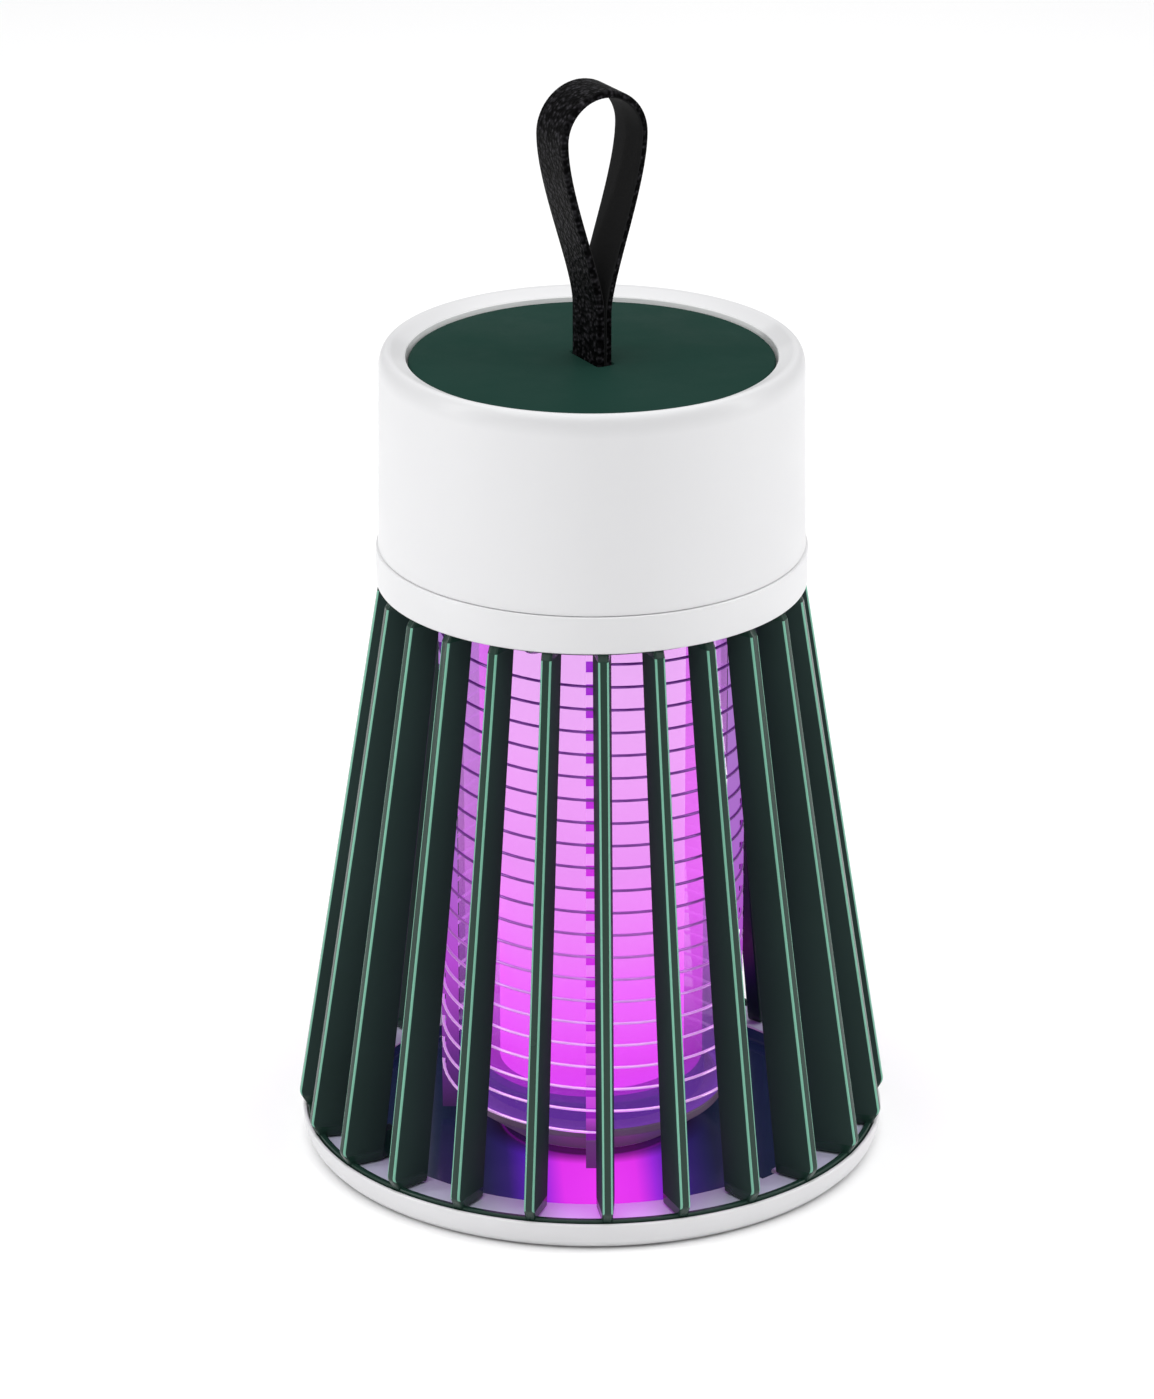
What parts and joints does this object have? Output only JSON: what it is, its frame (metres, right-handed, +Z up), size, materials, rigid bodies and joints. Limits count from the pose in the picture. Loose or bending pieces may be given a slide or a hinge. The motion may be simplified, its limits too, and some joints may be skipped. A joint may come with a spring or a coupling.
{
  "type": "electric bug zapper",
  "caption": "Standing electric bug zapper: white battery head with a carrying strap, dark green fin cage around a lit tube and a wire grid, twist-off base tray.",
  "frame": {"origin": "centre of the plane that the rubber feet stand on", "axes": "+Z up along the lamp's axis, -Y towards the front; the switch and charging socket are at the back, +Y"},
  "size_m": [0.1304, 0.1304, 0.2408],
  "materials": {
    "white_plastic": "satin white ABS",
    "green_plastic": "glossy dark green ABS",
    "lid_plastic": "fine satin dark green",
    "strap_leather": "black pebbled PU leather",
    "foot_rubber": "matt",
    "tube_plastic": "frosted, lit from inside",
    "sleeve_plastic": "translucent, frosted",
    "violet_plastic": "smooth",
    "grid_plate_plastic": "fine texture",
    "post_plastic": "tinted insulating plastic",
    "grid_wire": "bright drawn wire",
    "screw_steel": "zinc plated",
    "nickel": "plated strip",
    "circuit_board": "solder mask",
    "cell_wrap": "blue sleeve over a metal can",
    "capacitor_wrap": "blue sleeve",
    "black_plastic": "moulded",
    "lead_insulation": "silicone insulation",
    "led_package": "moulded package",
    "lens_plastic": "clear light pipe"
  },
  "bodies": {
    "lamp": {"upper_housing": "white_plastic", "head_base": "white_plastic", "fin_cage": "green_plastic", "top_lid": "lid_plastic", "strap_tail": "strap_leather", "light_tube": "tube_plastic", "tube_sleeve": "sleeve_plastic", "tube_cap": "violet_plastic", "grid_top_plate": "violet_plastic", "grid_bottom_plate": "grid_plate_plastic", "grid_post_1": "post_plastic", "grid_post_2": "post_plastic", "grid_post_3": "post_plastic", "grid_post_4": "post_plastic", "grid_wire_live": "grid_wire", "grid_wire_return": "grid_wire", "cage_screw_1": "screw_steel", "cage_screw_2": "screw_steel", "cage_screw_3": "screw_steel", "clamp_screw_1": "screw_steel", "clamp_screw_2": "screw_steel", "housing_screw_1": "screw_steel", "housing_screw_2": "screw_steel", "housing_screw_3": "screw_steel", "board_screw_1": "screw_steel", "board_screw_2": "screw_steel", "board_screw_3": "screw_steel", "strap_clamp": "screw_steel", "usb_port": "screw_steel", "battery_tab_1": "nickel", "battery_tab_2": "nickel", "led_board": "circuit_board", "control_board": "circuit_board", "button_board": "circuit_board", "battery_cell": "cell_wrap", "hv_capacitor_1": "capacitor_wrap", "hv_capacitor_2": "capacitor_wrap", "tact_switch": "black_plastic", "battery_cradle": "black_plastic", "hv_transformer": "black_plastic", "hv_lead_1": "lead_insulation", "hv_lead_2": "lead_insulation", "uv_led_1": "led_package", "uv_led_2": "led_package", "uv_led_3": "led_package", "uv_led_4": "led_package", "uv_led_5": "led_package", "uv_led_6": "led_package", "status_led": "led_package", "status_lens": "lens_plastic"},
    "strap": {"strap_loop": "strap_leather"},
    "button": {"power_button": "white_plastic"},
    "base": {"base_tray": "white_plastic", "rubber_foot_1": "foot_rubber", "rubber_foot_2": "foot_rubber", "rubber_foot_3": "foot_rubber", "rubber_foot_4": "foot_rubber"}
  },
  "joints": [
    {"name": "base_twist", "type": "hinge", "parent": "lamp", "child": "base", "pos_m": [0, 0, 0.004], "axis": [0, 0, 1], "range_deg": [0, 18]},
    {"name": "strap_fold", "type": "hinge", "parent": "lamp", "child": "strap", "pos_m": [0, 0, 0.1828], "axis": [0.454, -0.891, 0], "range_deg": [-65, 65], "stiffness_Nm_per_rad": 0.02},
    {"name": "button_press", "type": "slide", "parent": "lamp", "child": "button", "axis": [0, -1, 0], "range_m": [0, 0.001], "stiffness_N_per_m": 300, "springref_m": -0.0005}
  ]
}
